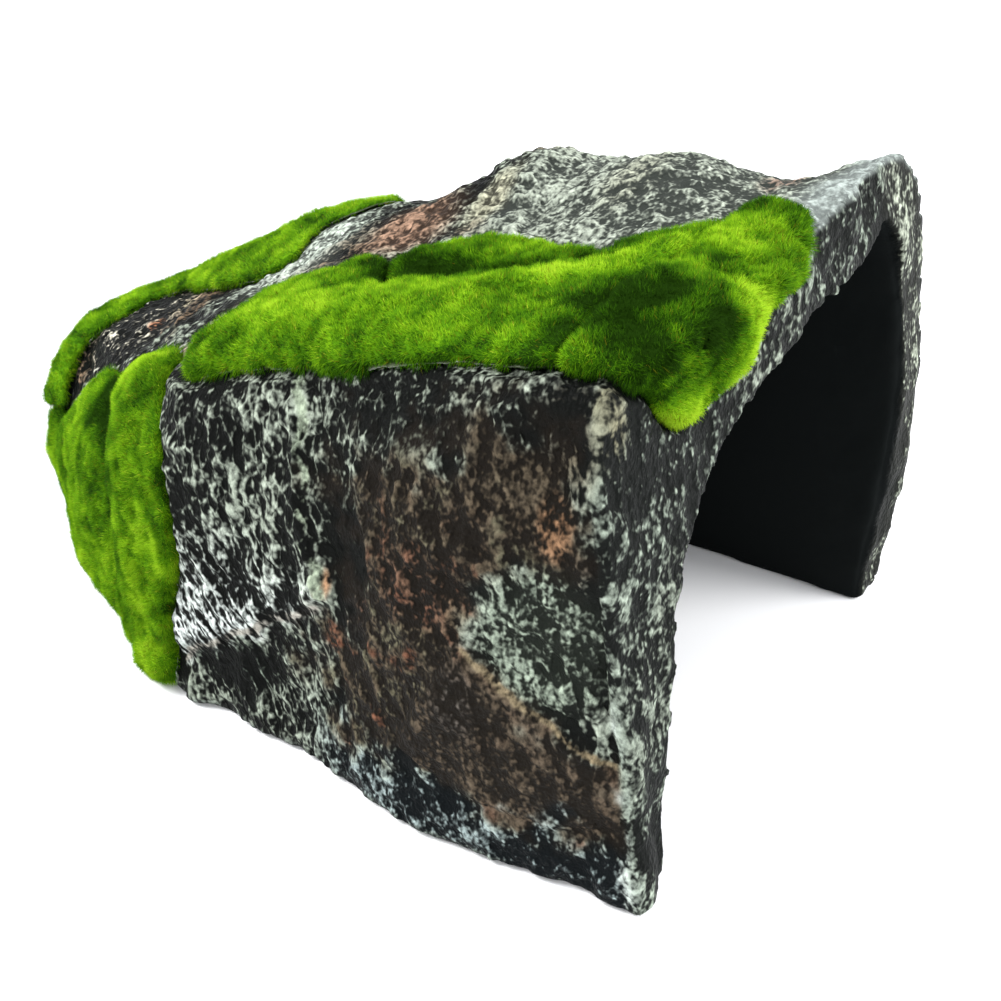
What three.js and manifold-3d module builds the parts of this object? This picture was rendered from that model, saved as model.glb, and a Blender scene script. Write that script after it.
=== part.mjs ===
import * as THREE from 'three';
import { mergeVertices } from 'three/addons/utils/BufferGeometryUtils.js';
import Module from 'manifold-3d';

const wasm = await Module();
wasm.setup();

// A hollow resin rock cave: an open-bottomed arch with its mouth at the front and a ramp for a
// tail, with beds of flock moss stuck on it.
// Millimetres. X runs across the cave, Y runs back from the mouth to the tail, Z is up.

// The cavity starts well in front of the mouth and below the feet, so that it cuts both open.
const CAVITY_FRONT = -30;
const CAVITY_BACK = 156;
const CAVITY_DROP = 6;

// The moss beds: a coat of glue on the resin, and the flock that it holds.
const FIT_GAP = 0.3;
const GLUE_DEPTH = 0.6;
const CROWN_REACH = 9;
const EDGE_SHARE = 0.6;
const DRAPE_REACH = 16;

// Mesh fineness.
const OUTLINE_STEPS = 2;
const STEPS_AROUND = 38;
const STEPS_ALONG = 28;
const CAVITY_AROUND = 24;
const CAVITY_ALONG = 18;

// A smooth value through [distance back from the mouth, value] pairs, level beyond both ends.
function profile(...points) {
  const slopeAt = (k) => {
    const before = points[Math.max(k - 1, 0)];
    const after = points[Math.min(k + 1, points.length - 1)];
    return (after[1] - before[1]) / (after[0] - before[0]);
  };
  return (y) => {
    let k = 0;
    while (k < points.length - 2 && y > points[k + 1][0]) k += 1;
    const [y0, v0] = points[k];
    const [y1, v1] = points[k + 1];
    const step = y1 - y0;
    const t = THREE.MathUtils.clamp((y - y0) / step, 0, 1);
    const rise = t * t * (3 - 2 * t);
    const startPull = t * (1 - t) * (1 - t) * step * slopeAt(k);
    const endPull = t * t * (t - 1) * step * slopeAt(k + 1);
    return v0 + (v1 - v0) * rise + startPull + endPull;
  };
}

// Plan of the shell: where its two walls stand, and how far their tops lean in. The near wall
// runs straight back to a corner, and the side of the tail runs in from there.
const nearFoot = profile(
  [0, 0], [18, -3.3], [40, -5], [62, 0], [87, 0], [92, 1], [97, 4.5], [131, 18], [176, 45],
);
const nearLean = profile([0, 1.5], [40, 4], [88, 3], [130, 5], [176, 1]);
const CORNER_LEAN = 6;
const farFoot = profile([0, 101], [60, 103], [110, 101], [145, 96], [176, 84]);
const farLean = profile([0, 1], [60, 5], [120, 9], [176, 6]);

// Heights of the roof: over the near wall, along the roll and the dip behind it, along the
// crest, and over the far wall.
const nearTop = profile([0, 77], [12, 78], [30, 75], [50, 71], [86, 60], [128, 43], [162, 31], [176, 29]);
const rollTop = profile([0, 82], [12, 81], [35, 77], [60, 72], [88, 65], [128, 49], [176, 33]);
const dipTop = profile([0, 84], [15, 82], [40, 78], [65, 75], [90, 68], [128, 53], [176, 35]);
const crestTop = profile(
  [0, 88], [9, 88], [16, 85.5], [24, 86], [32, 88.5], [43, 87.5], [52, 84.5], [60, 86.5],
  [68, 84.5], [77, 79], [86, 75.5], [102, 70.5], [114, 65.3], [130, 57], [156, 45], [176, 35.5],
);
const farTop = profile([0, 88], [8, 87], [20, 80], [45, 81], [80, 71], [110, 60], [140, 47], [176, 33]);

// The lines that run from the mouth to the tail over the shell, from the near foot to the far
// foot. Each has its start at the mouth and its end at the tail, and a place across at each y.
const shoulderX = (y) => nearFoot(y + CORNER_LEAN) + nearLean(y);
const farShoulderX = (y) => farFoot(y) - farLean(y);
const across = (y, share) => THREE.MathUtils.lerp(shoulderX(y), farShoulderX(y), share);
const OUTER_LINES = [
  { start: 0, end: 175, x: nearFoot, z: () => 0 },
  { start: 2, end: 177, x: (y) => nearFoot(y + 0.3 * CORNER_LEAN) - 1, z: (y) => 0.3 * nearTop(y) },
  { start: 6, end: 177, x: (y) => nearFoot(y + 0.65 * CORNER_LEAN) - 0.5, z: (y) => 0.65 * nearTop(y) },
  { start: 9.5, end: 175, x: (y) => shoulderX(y) - 0.5, z: (y) => nearTop(y) - 3 },
  { start: 9, end: 174, x: (y) => shoulderX(y) + 3, z: (y) => nearTop(y) + 1 },
  { start: 7, end: 174, x: (y) => across(y, 0.2), z: rollTop },
  { start: 4, end: 175, x: (y) => across(y, 0.44), z: dipTop },
  { start: 5, end: 175, x: (y) => across(y, 0.74), z: crestTop },
  { start: 4, end: 173, x: (y) => farShoulderX(y) - 5, z: (y) => farTop(y) + 1 },
  { start: 2, end: 173, x: (y) => farShoulderX(y) + 1, z: (y) => farTop(y) - 6 },
  { start: -4, end: 174, x: (y) => farFoot(y) + 1.5, z: (y) => 0.5 * farTop(y) },
  { start: -1.6, end: 174, x: farFoot, z: () => 0 },
];

// The cavity follows the shell inside, from a foot on one side to a foot on the other.
const wallShare = profile([-30, 1], [5, 1], [30, 0.75], [156, 0.7]);
const CAVITY_LINES = [
  { x: (y) => nearFoot(y) + 7.6, z: () => -CAVITY_DROP },
  { x: (y) => nearFoot(y) + 7.6 + wallShare(y), z: () => 0 },
  { x: (y) => nearFoot(y) + 11.5 * wallShare(y), z: (y) => 0.34 * nearTop(y) },
  { x: (y) => nearFoot(y) + 15.5 * wallShare(y), z: (y) => 0.62 * nearTop(y) },
  { x: (y) => nearFoot(y) + 30 * wallShare(y), z: (y) => nearTop(y) - 16 * wallShare(y) },
  { x: (y) => across(y, 0.52), z: (y) => dipTop(y) - 12 * wallShare(y) },
  { x: (y) => across(y, 0.76), z: (y) => crestTop(y) - 13 * wallShare(y) },
  { x: (y) => farFoot(y) - 14, z: (y) => farTop(y) - 8 * wallShare(y) },
  { x: (y) => farFoot(y) - 9, z: (y) => 0.8 * farTop(y) },
  { x: (y) => farFoot(y) - 8, z: (y) => 0.4 * farTop(y) },
  { x: (y) => farFoot(y) - 5.5, z: () => 0 },
  { x: (y) => farFoot(y) - 5.5, z: () => -CAVITY_DROP },
];

// One cross-section of a loft: a smooth curve through its lines at a share t of their length.
function section(lines, t, stepsAround) {
  const points = lines.map((line) => {
    const y = THREE.MathUtils.lerp(line.start, line.end, t);
    return new THREE.Vector3(line.x(y), y, line.z(y));
  });
  return new THREE.CatmullRomCurve3(points, false, 'centripetal').getPoints(stepsAround);
}

// A closed mesh over a run of cross-sections. Its ends are fans to their middles, and its
// underside is flat between the first and last point of each section.
function loftGeometry(sections) {
  const positions = [];
  const indices = [];
  const count = sections[0].length;
  sections.forEach((points) => points.forEach((p) => positions.push(p.x, p.y, p.z)));
  for (let j = 0; j < sections.length - 1; j += 1) {
    for (let i = 0; i < count; i += 1) {
      const a = j * count + i;
      const b = j * count + ((i + 1) % count);
      indices.push(a, b, b + count, a, b + count, a + count);
    }
  }
  const addEnd = (j, forward) => {
    const middle = new THREE.Vector3();
    sections[j].forEach((p) => middle.add(p));
    middle.divideScalar(count);
    const hub = positions.length / 3;
    positions.push(middle.x, middle.y, middle.z);
    for (let i = 0; i < count; i += 1) {
      const a = j * count + i;
      const b = j * count + ((i + 1) % count);
      if (forward) indices.push(hub, b, a);
      else indices.push(hub, a, b);
    }
  };
  addEnd(0, true);
  addEnd(sections.length - 1, false);
  const geometry = new THREE.BufferGeometry();
  geometry.setAttribute('position', new THREE.Float32BufferAttribute(positions, 3));
  geometry.setIndex(indices);
  return geometry;
}

function solidFrom(geometry) {
  const bare = geometry.clone();
  bare.deleteAttribute('normal');
  bare.deleteAttribute('uv');
  const merged = mergeVertices(bare);
  return new wasm.Manifold(new wasm.Mesh({
    numProp: 3,
    vertProperties: merged.attributes.position.array,
    triVerts: new Uint32Array(merged.index.array),
  }));
}

function geometryFrom(solid) {
  const mesh = solid.getMesh();
  const geometry = new THREE.BufferGeometry();
  geometry.setAttribute('position', new THREE.BufferAttribute(mesh.vertProperties, mesh.numProp));
  geometry.setIndex(new THREE.BufferAttribute(mesh.triVerts, 1));
  geometry.computeVertexNormals();
  return geometry;
}

// The tail's end is rounded over by two smaller sections behind the last full one.
function shrunk(points, share, shift) {
  const middle = new THREE.Vector3();
  points.forEach((p) => middle.add(p));
  middle.divideScalar(points.length);
  return points.map((p) => new THREE.Vector3(
    THREE.MathUtils.lerp(middle.x, p.x, share),
    p.y + shift,
    p.z * share,
  ));
}

function outerSections() {
  const sections = [];
  for (let j = 0; j <= STEPS_ALONG; j += 1) {
    sections.push(section(OUTER_LINES, j / STEPS_ALONG, STEPS_AROUND));
  }
  const last = sections[sections.length - 1];
  sections.push(shrunk(last, 0.93, 2.2));
  sections.push(shrunk(last, 0.78, 3.4));
  return sections;
}

function cavitySections() {
  const lines = CAVITY_LINES.map((line) => ({ ...line, start: CAVITY_FRONT, end: CAVITY_BACK }));
  const sections = [];
  for (let j = 0; j <= CAVITY_ALONG; j += 1) {
    sections.push(section(lines, j / CAVITY_ALONG, CAVITY_AROUND));
  }
  return sections;
}

// The same closed form grown outwards along its normals, by a depth for each of its points.
function grownForm(form, depthAt) {
  const grown = form.clone();
  const position = grown.attributes.position;
  const normal = form.attributes.normal;
  const point = new THREE.Vector3();
  const outward = new THREE.Vector3();
  for (let k = 0; k < position.count; k += 1) {
    point.fromBufferAttribute(position, k);
    outward.fromBufferAttribute(normal, k);
    point.addScaledVector(outward, depthAt(point));
    position.setXYZ(k, point.x, point.y, point.z);
  }
  return solidFrom(grown);
}

// A bed's outline is a smooth closed line through its points.
function smoothOutline(points) {
  const curve = new THREE.CatmullRomCurve3(
    points.map(([u, v]) => new THREE.Vector3(u, v, 0)), true, 'centripetal',
  );
  return curve.getPoints(points.length * OUTLINE_STEPS).slice(0, -1).map((p) => new THREE.Vector2(p.x, p.y));
}

// How far a place lies inside an outline, negative outside it.
function insideDistance(outline, u, v) {
  let nearest = Infinity;
  let inside = false;
  outline.forEach((a, k) => {
    const b = outline[(k + 1) % outline.length];
    const along = THREE.MathUtils.clamp(
      ((u - a.x) * (b.x - a.x) + (v - a.y) * (b.y - a.y)) / a.distanceToSquared(b), 0, 1,
    );
    const gap = Math.hypot(u - a.x - along * (b.x - a.x), v - a.y - along * (b.y - a.y));
    nearest = Math.min(nearest, gap);
    const crosses = (a.y > v) !== (b.y > v) && u < a.x + ((v - a.y) / (b.y - a.y)) * (b.x - a.x);
    if (crosses) inside = !inside;
  });
  return inside ? nearest : -nearest;
}

// The views that outlines are drawn in: from above as X and Y, from the mouth as X and Z, and
// from the near side as Y and Z. Each turns the extrusion, and reads a place's two numbers.
const VIEWS = {
  above: {
    turn: new THREE.Matrix4(),
    read: (p) => [p.x, p.y],
  },
  front: {
    turn: new THREE.Matrix4().makeBasis(
      new THREE.Vector3(1, 0, 0), new THREE.Vector3(0, 0, 1), new THREE.Vector3(0, -1, 0),
    ),
    read: (p) => [p.x, p.z],
  },
  side: {
    turn: new THREE.Matrix4().makeBasis(
      new THREE.Vector3(0, 1, 0), new THREE.Vector3(0, 0, 1), new THREE.Vector3(1, 0, 0),
    ),
    read: (p) => [p.y, p.z],
  },
};

// The block of space that one bed may fill: its outline extruded between two depths.
function bedBlock(bed, outline) {
  const depth = bed.to - bed.from;
  const block = new THREE.ExtrudeGeometry(new THREE.Shape(outline), { depth, bevelEnabled: false });
  block.translate(0, 0, bed.from);
  block.applyMatrix4(VIEWS[bed.view].turn);
  const solid = solidFrom(block);
  return bed.start === undefined ? solid : solid.trimByPlane([0, 1, 0], bed.start);
}

// Moss beds. Each outline is in the bed's view, and from and to limit it along the view. A bed
// with a start is cut off there, short of the bed in front of it. A bed with a plan keeps inside
// that outline too, as seen from above.
const BEDS = [
  {
    name: 'roof_roll',
    view: 'above',
    from: 50,
    to: 110,
    start: DRAPE_REACH + FIT_GAP,
    depth: 5,
    outline: [
      [3.5, 14], [2.5, 30], [2.5, 45], [5, 60], [5, 76], [5, 85], [10, 88.5], [17, 87.5],
      [26, 84.5], [31, 80], [34, 75], [34.5, 70], [32.5, 66.5], [27.5, 64], [25, 60], [28, 52],
      [31, 46], [31, 40], [34, 33.5], [43, 29.5], [46, 27], [49.5, 21.5], [53.5, 17], [56, 13],
    ],
  },
  {
    name: 'roof_ledge',
    view: 'above',
    from: 60,
    to: 110,
    depth: 4.5,
    outline: [
      [26.5, 59.5], [29.5, 53], [32.5, 47], [32.5, 41], [36, 35], [42, 32.5], [42.5, 37],
      [44.5, 44], [45.5, 50], [44.5, 56], [41, 62], [36, 65.5], [30, 64],
    ],
  },
  {
    name: 'front_drape',
    view: 'front',
    from: -DRAPE_REACH,
    to: 8,
    depth: 5.5,
    outline: [
      [3, 79], [8, 77], [12, 72], [16, 69.5], [20, 71], [25, 72], [29, 74.5], [31, 79.5],
      [38, 81], [45, 80.5], [55, 81.5], [66, 83], [68, 90], [64, 99], [30, 98], [0, 92],
    ],
    plan: [
      [-6, 22], [47, 22], [53, 18], [58.5, 15.2], [60.6, 12], [60, 8.4], [56.4, 5.6], [50.5, 3.4],
      [46, 2], [43.5, -3], [42.5, -12], [-6, -12],
    ],
  },
  {
    name: 'tail_edge',
    view: 'above',
    from: 20,
    to: 80,
    depth: 3.2,
    outline: [
      [74, 97], [68, 101], [66.5, 107], [60, 107.5], [53, 105.5], [49, 110], [51.5, 118],
      [54, 126], [57, 135], [62, 145], [64, 154], [62, 162], [54, 165.5], [49, 170], [43, 170],
      [37.5, 172], [38, 185], [62, 190], [80, 186], [90, 168], [96, 150], [97, 132], [93, 116],
      [84, 102],
    ],
  },
  {
    name: 'tail_side',
    view: 'side',
    from: -20,
    to: 46,
    depth: 3.8,
    outline: [
      [115.5, 3], [114, 20], [115, 34], [119.5, 42.5], [126, 44.5], [136, 41.5], [148, 34],
      [156, 27], [164, 19.6], [171, 19.4], [177, 18], [180, 11], [180, 3], [150, 2.5],
    ],
  },
  {
    name: 'tail_ridge',
    view: 'side',
    from: -20,
    to: 30,
    depth: 5.5,
    outline: [
      [95.5, 3], [93.5, 10], [89.5, 23], [86.8, 34], [87.2, 43], [89.5, 50], [93, 55], [98, 57.8],
      [104, 57], [110, 54.5], [114.5, 49], [112.5, 42], [111.5, 34], [110.5, 20], [112, 3],
      [103, 2.5],
    ],
  },
];

const form = mergeVertices(loftGeometry(outerSections()));
form.computeVertexNormals();
const cavity = solidFrom(loftGeometry(cavitySections()));
const shell = solidFrom(form).subtract(cavity);

const resin = new THREE.MeshStandardMaterial({ color: '#4d4a44', roughness: 0.8, metalness: 0 });
const flock = new THREE.MeshStandardMaterial({ color: '#5f9a1c', roughness: 1, metalness: 0 });
const adhesive = new THREE.MeshStandardMaterial({ color: '#2f4a16', roughness: 0.5, metalness: 0 });

function named(name, solid, material) {
  const mesh = new THREE.Mesh(geometryFrom(solid), material);
  mesh.name = name;
  return mesh;
}

const ornament = new THREE.Group();
ornament.add(named('rock_cave_shell', shell, resin));

// Under the moss, the coat of glue lies on the shell; the moss lies on the glue.
const glueUnder = grownForm(form, () => FIT_GAP);
const glueOver = grownForm(form, () => FIT_GAP + GLUE_DEPTH);
const mossUnder = grownForm(form, () => 2 * FIT_GAP + GLUE_DEPTH);
const glueSheet = glueOver.subtract(glueUnder).subtract(cavity);
BEDS.forEach((bed) => {
  const outline = smoothOutline(bed.outline);
  const plan = bed.plan ? smoothOutline(bed.plan) : null;
  const plain = bedBlock(bed, outline);
  const block = plan ? plain.intersect(bedBlock({ view: 'above', from: 0, to: 120 }, plan)) : plain;
  const crownedDepth = (point) => {
    const within = insideDistance(outline, ...VIEWS[bed.view].read(point));
    const inside = plan ? Math.min(within, insideDistance(plan, point.x, point.y)) : within;
    const crown = THREE.MathUtils.smoothstep(inside, 0, CROWN_REACH);
    return bed.depth * THREE.MathUtils.lerp(EDGE_SHARE, 1, crown);
  };
  const mossSheet = grownForm(form, crownedDepth).subtract(mossUnder).subtract(cavity);
  ornament.add(named(`glue_${bed.name}`, glueSheet.intersect(block), adhesive));
  ornament.add(named(`moss_${bed.name}`, mossSheet.intersect(block), flock));
});

// The origin is on the underside, in the middle of the footprint.
const box = new THREE.Box3().setFromObject(ornament);
const middle = box.getCenter(new THREE.Vector3());
ornament.position.set(-middle.x, -middle.y, -box.min.z);

export default ornament;
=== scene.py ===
"""The looks of a resin cave ornament: painted rock, glue films and flocked moss.

Lengths in the tables below are millimetres in the row frame; meshes are in metres.
"""

import itertools

import bmesh
import bpy
import numpy as np
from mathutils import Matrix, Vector
from mathutils.bvhtree import BVHTree
from mathutils.kdtree import KDTree


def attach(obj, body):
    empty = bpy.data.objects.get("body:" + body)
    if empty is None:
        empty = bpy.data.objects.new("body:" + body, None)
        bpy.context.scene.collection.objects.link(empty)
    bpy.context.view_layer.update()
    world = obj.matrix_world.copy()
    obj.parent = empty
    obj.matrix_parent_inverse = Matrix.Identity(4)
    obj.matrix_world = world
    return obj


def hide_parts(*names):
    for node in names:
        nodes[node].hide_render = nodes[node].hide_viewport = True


MM = 0.001

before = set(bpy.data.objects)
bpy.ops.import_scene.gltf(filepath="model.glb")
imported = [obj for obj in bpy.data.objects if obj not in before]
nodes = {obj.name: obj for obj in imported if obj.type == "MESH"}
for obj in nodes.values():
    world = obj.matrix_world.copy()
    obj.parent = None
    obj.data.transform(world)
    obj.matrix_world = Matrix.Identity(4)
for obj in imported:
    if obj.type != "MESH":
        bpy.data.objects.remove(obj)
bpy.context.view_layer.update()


# ---------------------------------------------------------------- number tools


def blend(low, high, value):
    """0 below low, 1 above high, and a smooth step between them."""
    t = np.clip((value - low) / (high - low), 0, 1)
    return t * t * (3 - 2 * t)


def scattered(cells, seed):
    """A number from 0 to 1 for each whole-number cell of a grid."""
    x, y, z = (cells[:, i].astype(np.int64) for i in range(3))
    n = (x * 73856093) ^ (y * 19349663) ^ (z * 83492791) ^ (seed * 2654435761)
    n = (n & 0xFFFFFFFF).astype(np.uint64)
    n = ((n ^ (n >> np.uint64(15))) * np.uint64(2246822519)) & np.uint64(0xFFFFFFFF)
    n = ((n ^ (n >> np.uint64(13))) * np.uint64(3266489917)) & np.uint64(0xFFFFFFFF)
    return (n ^ (n >> np.uint64(16))) / 4294967295.0


TURNED = np.array([[0.36, 0.48, -0.8], [-0.8, 0.6, 0.0], [0.48, 0.64, 0.6]])


def noise(points, size, seed):
    """Smooth noise from -1 to 1 whose lumps are about size across."""
    grid = points @ TURNED.T / size
    base = np.floor(grid)
    part = grid - base
    part = part**3 * (part * (part * 6 - 15) + 10)
    total = np.zeros(len(points))
    for corner in itertools.product((0, 1), repeat=3):
        weight = np.prod(np.where(corner, part, 1 - part), axis=1)
        total += weight * scattered(base + corner, seed)
    return total * 2 - 1


def layered(points, size, seed, layers=3):
    """Noise with finer and fainter layers on top."""
    total, share = 0, 1.0
    for layer in range(layers):
        total = total + noise(points, size * 0.5**layer, seed + layer) * share
        share *= 0.55
    return total


def line_distance(across, up, line):
    """How far each point of a plane is from a line of points."""
    best = np.full(len(across), 1e9)
    for (ax, ay), (bx, by) in zip(line, line[1:]):
        dx, dy = bx - ax, by - ay
        t = np.clip(((across - ax) * dx + (up - ay) * dy) / (dx * dx + dy * dy), 0, 1)
        best = np.minimum(best, np.hypot(across - ax - t * dx, up - ay - t * dy))
    return best


def depth_inside(across, up, outline):
    """How far each point lies inside a closed outline; outside it is negative."""
    closed = outline + outline[:1]
    inside = np.zeros(len(across), bool)
    for (ax, ay), (bx, by) in zip(closed, closed[1:]):
        if ay == by:
            continue
        crosses = (ay > up) != (by > up)
        inside ^= crosses & (across < (bx - ax) * (up - ay) / (by - ay) + ax)
    return np.where(inside, 1, -1) * line_distance(across, up, closed)


def spot(points, centre, size):
    """1 at the centre of a soft spot and 0 outside it; size may be one number or three."""
    away = np.linalg.norm((points - np.array(centre)) / size, axis=1)
    return 1 - blend(0.35, 1.0, away)


def along(points, line, width):
    """1 on a line of points in space, fading to 0 over about width."""
    best = np.full(len(points), 1e9)
    for a, b in zip(np.array(line, float), np.array(line[1:], float)):
        t = np.clip((points - a) @ (b - a) / ((b - a) @ (b - a)), 0, 1)
        best = np.minimum(best, np.linalg.norm(points - a - t[:, None] * (b - a), axis=1))
    return np.exp(-((best / width) ** 2))


# ------------------------------------------------------------------ mesh tools


def numbers(items, key, width=3):
    """One row of numbers for each item."""
    out = np.empty(len(items) * width, np.float32)
    items.foreach_get(key, out)
    return out.reshape(-1, width).astype(float)


def points_of(mesh):
    return numbers(mesh.vertices, "co") / MM


def set_points(mesh, points):
    mesh.vertices.foreach_set("co", (points * MM).astype(np.float32).ravel())
    mesh.update()


def normals_of(mesh):
    return numbers(mesh.vertex_normals, "vector")


def store(mesh, name, values):
    """Keeps one number, or three, at each vertex."""
    values = np.asarray(values, np.float32)
    kind = "FLOAT" if values.ndim == 1 else "FLOAT_VECTOR"
    layer = mesh.attributes.new(name, kind, "POINT")
    layer.data.foreach_set("value" if values.ndim == 1 else "vector", values.ravel())


def shown(name, mesh):
    piece = bpy.data.objects.new(name, mesh)
    bpy.context.scene.collection.objects.link(piece)
    return piece


def with_modifier(piece, kind, **settings):
    """Applies one modifier to a piece."""
    modifier = piece.modifiers.new(kind, kind)
    for key, value in settings.items():
        setattr(modifier, key, value)
    bpy.context.view_layer.update()
    graph = bpy.context.evaluated_depsgraph_get()
    mesh = bpy.data.meshes.new_from_object(piece.evaluated_get(graph))
    piece.modifiers.remove(modifier)
    piece.data = mesh
    return mesh


def closed_copy(name, *sources):
    """A new piece with the meshes of CAD nodes, their facets joined edge to edge."""
    work = bmesh.new()
    for source in sources:
        work.from_mesh(nodes[source].data)
    bmesh.ops.remove_doubles(work, verts=work.verts, dist=0.01 * MM)
    mesh = bpy.data.meshes.new(name)
    work.to_mesh(mesh)
    work.free()
    return shown(name, mesh)


def eased(mesh, times, held=None):
    """Smooths a mesh by moving each vertex halfway to the middle of its neighbours."""
    edges = np.empty(len(mesh.edges) * 2, np.int32)
    mesh.edges.foreach_get("vertices", edges)
    a, b = edges.reshape(-1, 2).T
    points = points_of(mesh)
    count = len(points)
    around = np.bincount(a, minlength=count) + np.bincount(b, minlength=count)
    share = np.ones(count) if held is None else 1 - held
    for _ in range(times):
        middle = np.empty_like(points)
        for axis in range(3):
            total = np.bincount(a, points[b, axis], count)
            total += np.bincount(b, points[a, axis], count)
            middle[:, axis] = total / np.maximum(around, 1)
        points += (middle - points) * 0.5 * share[:, None]
    set_points(mesh, points)
    return points


def tree_of(*names):
    """A search tree over the surfaces of CAD nodes."""
    points, faces = [], []
    for name in names:
        mesh = nodes[name].data
        start = len(points)
        points += [v.co.copy() for v in mesh.vertices]
        faces += [[start + i for i in p.vertices] for p in mesh.polygons]
    return BVHTree.FromPolygons(points, faces)


# ------------------------------------------------------------------------ rock

MOSS = sorted(n for n in nodes if n.startswith("moss_"))
GLUE = sorted(n for n in nodes if n.startswith("glue_"))

# Lines on the near wall, as (y, z).
STEP = [(-28, 70), (-30, 60), (-31.5, 50), (-33, 42), (-35.5, 36)]
UNDERCUT = [(-33, 33), (-29, 30), (-24, 27), (-18, 23), (-10, 18), (-4, 13), (2, 8)]
CREASE = [(-63, 39), (-66, 36), (-71, 33), (-75, 31), (-80, 28), (-84, 26), (-87, 22)]
FRONT_RIDGE = [(-85, 52), (-85.5, 46), (-86.2, 38), (-87.6, 26), (-89, 12), (-89.6, 3)]
PALE_RIDGE = [(-81.4, 80), (-80.8, 75), (-81.6, 70), (-83.2, 65)]
BACK_SLAB = STEP + UNDERCUT[1:] + [(30, 5), (40, 40), (10, 75)]
LOW_SLAB = CREASE + [(-87, 14), (-75, 11), (-60, 12), (-50, 16), (-55, 28)]
BROWN = [
    (-35, 58), (-48, 64), (-60, 70), (-69, 77), (-77, 74), (-82, 64), (-82, 56), (-76, 52),
    (-68, 49), (-64, 42), (-65, 36), (-74, 30), (-84, 24), (-88, 20), (-85, 13), (-66, 12),
    (-52, 14), (-37, 12), (-28, 21), (-37, 34), (-42, 48),
]

# Raised lines of the near wall: line, height, width.
RAISED_LINES = [
    (STEP, 0.6, 1.1),
    (CREASE, 0.35, 1.3),
    (FRONT_RIDGE, 0.6, 1.7),
    (PALE_RIDGE, 0.8, 1.5),
]
# Swellings (or hollows) of the near wall, then of the whole rock: height, centre, size.
WALL_SWELLS = [
    (-1.3, (-50, -74, 70), (30, 6, 9)),
    (1.0, (-50, -58, 60), (30, 14, 14)),
    (-0.9, (-50, -86, 33), (30, 6, 18)),
]
ROCK_SWELLS = [
    (-1.3, (-42, -89, 24), (7, 7, 24)),
    (-0.9, (27, -8, 77), (14, 16, 10)),
    (2.0, (-51, -89, 3), (9, 9, 14)),
    (1.9, (-48, 4, 1), (12, 13, 10)),
]

# Brushed patches, on the near wall and elsewhere: centre, size, colour, share, extra cover.
WALL_PATCHES = [
    # The first patch is painted shade in the hollow beside the step.
    ((-50, -41, 45), (30, 7, 15), (0.05, 0.06, 0.05), 0.7, -0.26),
    ((-50, -74, 74), (30, 5, 7), (0.085, 0.085, 0.07), 0.6, -0.05),
    ((-50, -17, 15), (30, 9, 6), (0.10, 0.13, 0.10), 0.7, -0.14),
    ((-50, -76, 61), (30, 3.5, 6), (0.17, 0.095, 0.052), 0.9, 0.05),
    ((-50, -35.5, 38), (30, 1.6, 3.2), (0.30, 0.15, 0.07), 0.8, 0.0),
    ((-50, -56, 46), (30, 10, 9), (0.115, 0.058, 0.037), 0.6, 0.04),
    ((-50, -81, 55), (30, 4, 5), (0.06, 0.05, 0.04), 0.6, -0.14),
    ((-50, -62, 30), (30, 5, 9), (0.05, 0.05, 0.05), 0.5, -0.10),
    ((-50, -50, 68), (30, 16, 5), (0.13, 0.15, 0.12), 0.5, -0.05),
    ((-50, -76, 77), (30, 4, 9), (0.055, 0.050, 0.038), 0.9, -0.12),
    ((-46, -87, 62), (30, 4, 13), (0.13, 0.16, 0.125), 0.8, 0.09),
    ((-50, -9, 12), (30, 12, 5), (0.07, 0.09, 0.075), 0.6, -0.10),
]
OTHER_PATCHES = [
    ((6, 12, 65), (26, 17, 14), (0.32, 0.36, 0.31), 0.9, 0.12),
    ((5, -13, 75), (17, 13, 12), (0.20, 0.125, 0.085), 1.0, 0.10),
    ((12, -26, 80), (16, 5, 9), (0.27, 0.265, 0.19), 0.9, 0.18),
    ((27, -72, 86), (9, 5, 6), (0.20, 0.13, 0.10), 0.8, 0.05),
    ((-1, 62, 43), (22, 26, 16), (0.60, 0.58, 0.47), 0.8, -0.13),
    ((2, 49, 49), (7, 6, 6), (0.42, 0.37, 0.25), 0.9, 0.0),
    ((-3, 50, 46), (4, 4, 4), (0.34, 0.13, 0.06), 0.9, 0.05),
    ((-30, 16, 54), (8, 9, 6), (0.33, 0.25, 0.17), 0.9, 0.10),
    ((-22, 13, 58), (14, 5, 6), (0.27, 0.21, 0.145), 0.9, 0.20),
    ((-15, -23, 75), (6, 5, 6), (0.05, 0.08, 0.03), 1.0, -0.25),
    ((36, -85, 79), (5, 9, 4), (0.05, 0.06, 0.06), 0.8, -0.25),
    ((20, -50, 84), (18, 8, 9), (0.25, 0.255, 0.19), 0.6, 0.02),
    ((-48, -80.5, 74), (5, 2.8, 10), (0.13, 0.12, 0.075), 0.9, -0.01),
    ((-49, -78, 70), (7, 4.5, 8), (0.075, 0.065, 0.045), 0.9, -0.02),
]
# Brushed lines of the near wall: line, width, colour, extra cover, extra limit of the cover.
BRUSHED_LINES = [
    (STEP, 0.75, (0.22, 0.26, 0.19), 0.12, 0),
    (UNDERCUT, 0.8, (0.24, 0.23, 0.20), 0.0, 0),
    (CREASE, 0.5, (0.135, 0.108, 0.066), 0.10, 0),
    (FRONT_RIDGE, 1.8, (0.36, 0.40, 0.37), 0.34, 0.12),
    (PALE_RIDGE, 1.2, (0.185, 0.18, 0.11), 0.24, 0.12),
]
MOST_COVER = 0.66
CAVE_COLOUR = (0.0040, 0.0050, 0.0050)

# Beyond this extra cover, a patch also colours the ground under it, by this share.
THICK_COVER = 0.08
GROUND_SHARE = 0.14


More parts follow.
